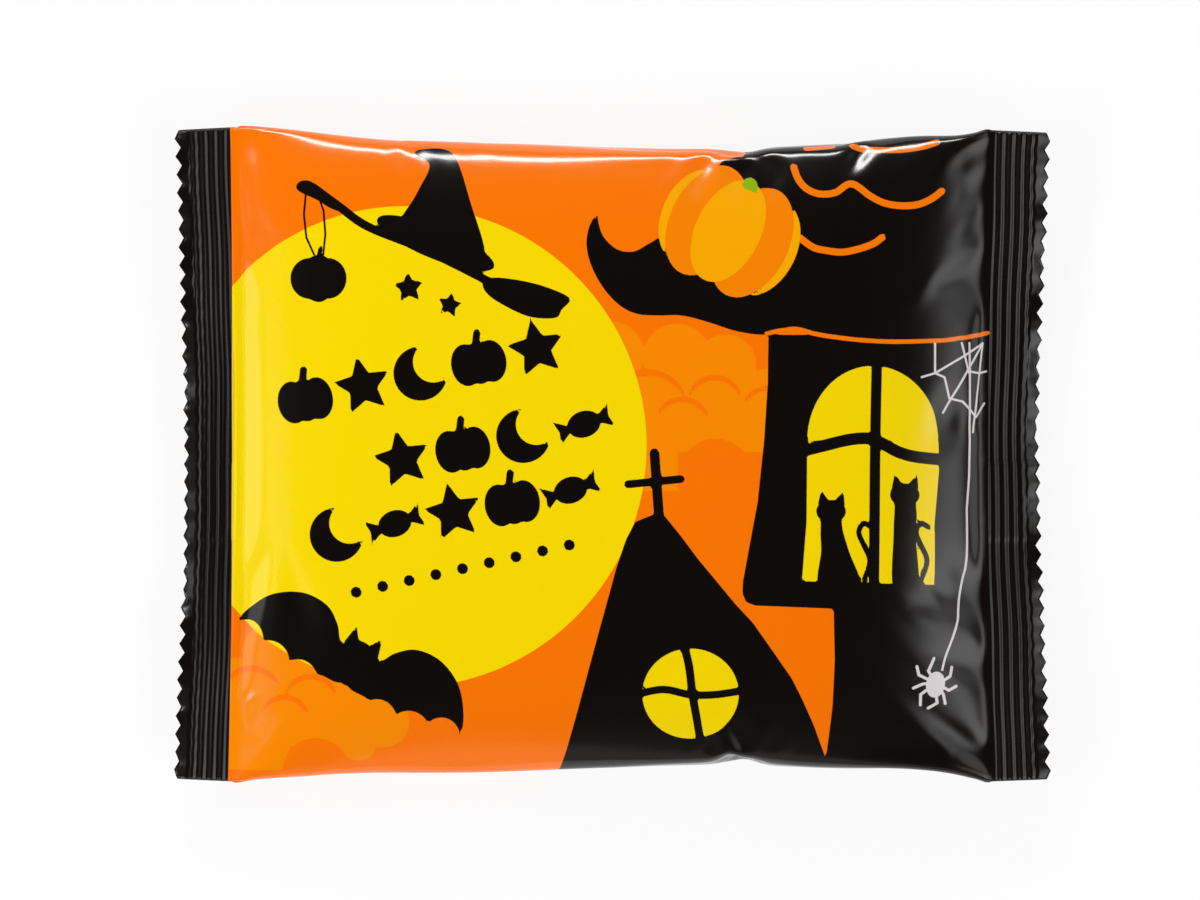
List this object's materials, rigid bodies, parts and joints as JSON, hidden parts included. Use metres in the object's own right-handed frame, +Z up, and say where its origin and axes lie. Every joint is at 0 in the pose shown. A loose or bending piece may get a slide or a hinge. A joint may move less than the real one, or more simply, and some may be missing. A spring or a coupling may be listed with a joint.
{
  "type": "sealed rice cracker pack",
  "caption": "Shut pillow-shaped film pack around a large rice cracker, with ribbed, zigzag-cut end seals and a back seal folded flat.",
  "frame": {"origin": "centre of the pack's outline, on the plane that its underside lies on", "axes": "+X along the pack from one end seal to the other, the black-printed end at +X; +Y across it, towards the top of the print; +Z up, out of the printed front"},
  "size_m": [0.134, 0.1, 0.016],
  "materials": {
    "printed_film": "glossy printed film in flat fields of orange, yellow and black, smooth and slightly creased"
  },
  "bodies": {
    "root": {"pack": "printed_film"}
  },
  "joints": []
}
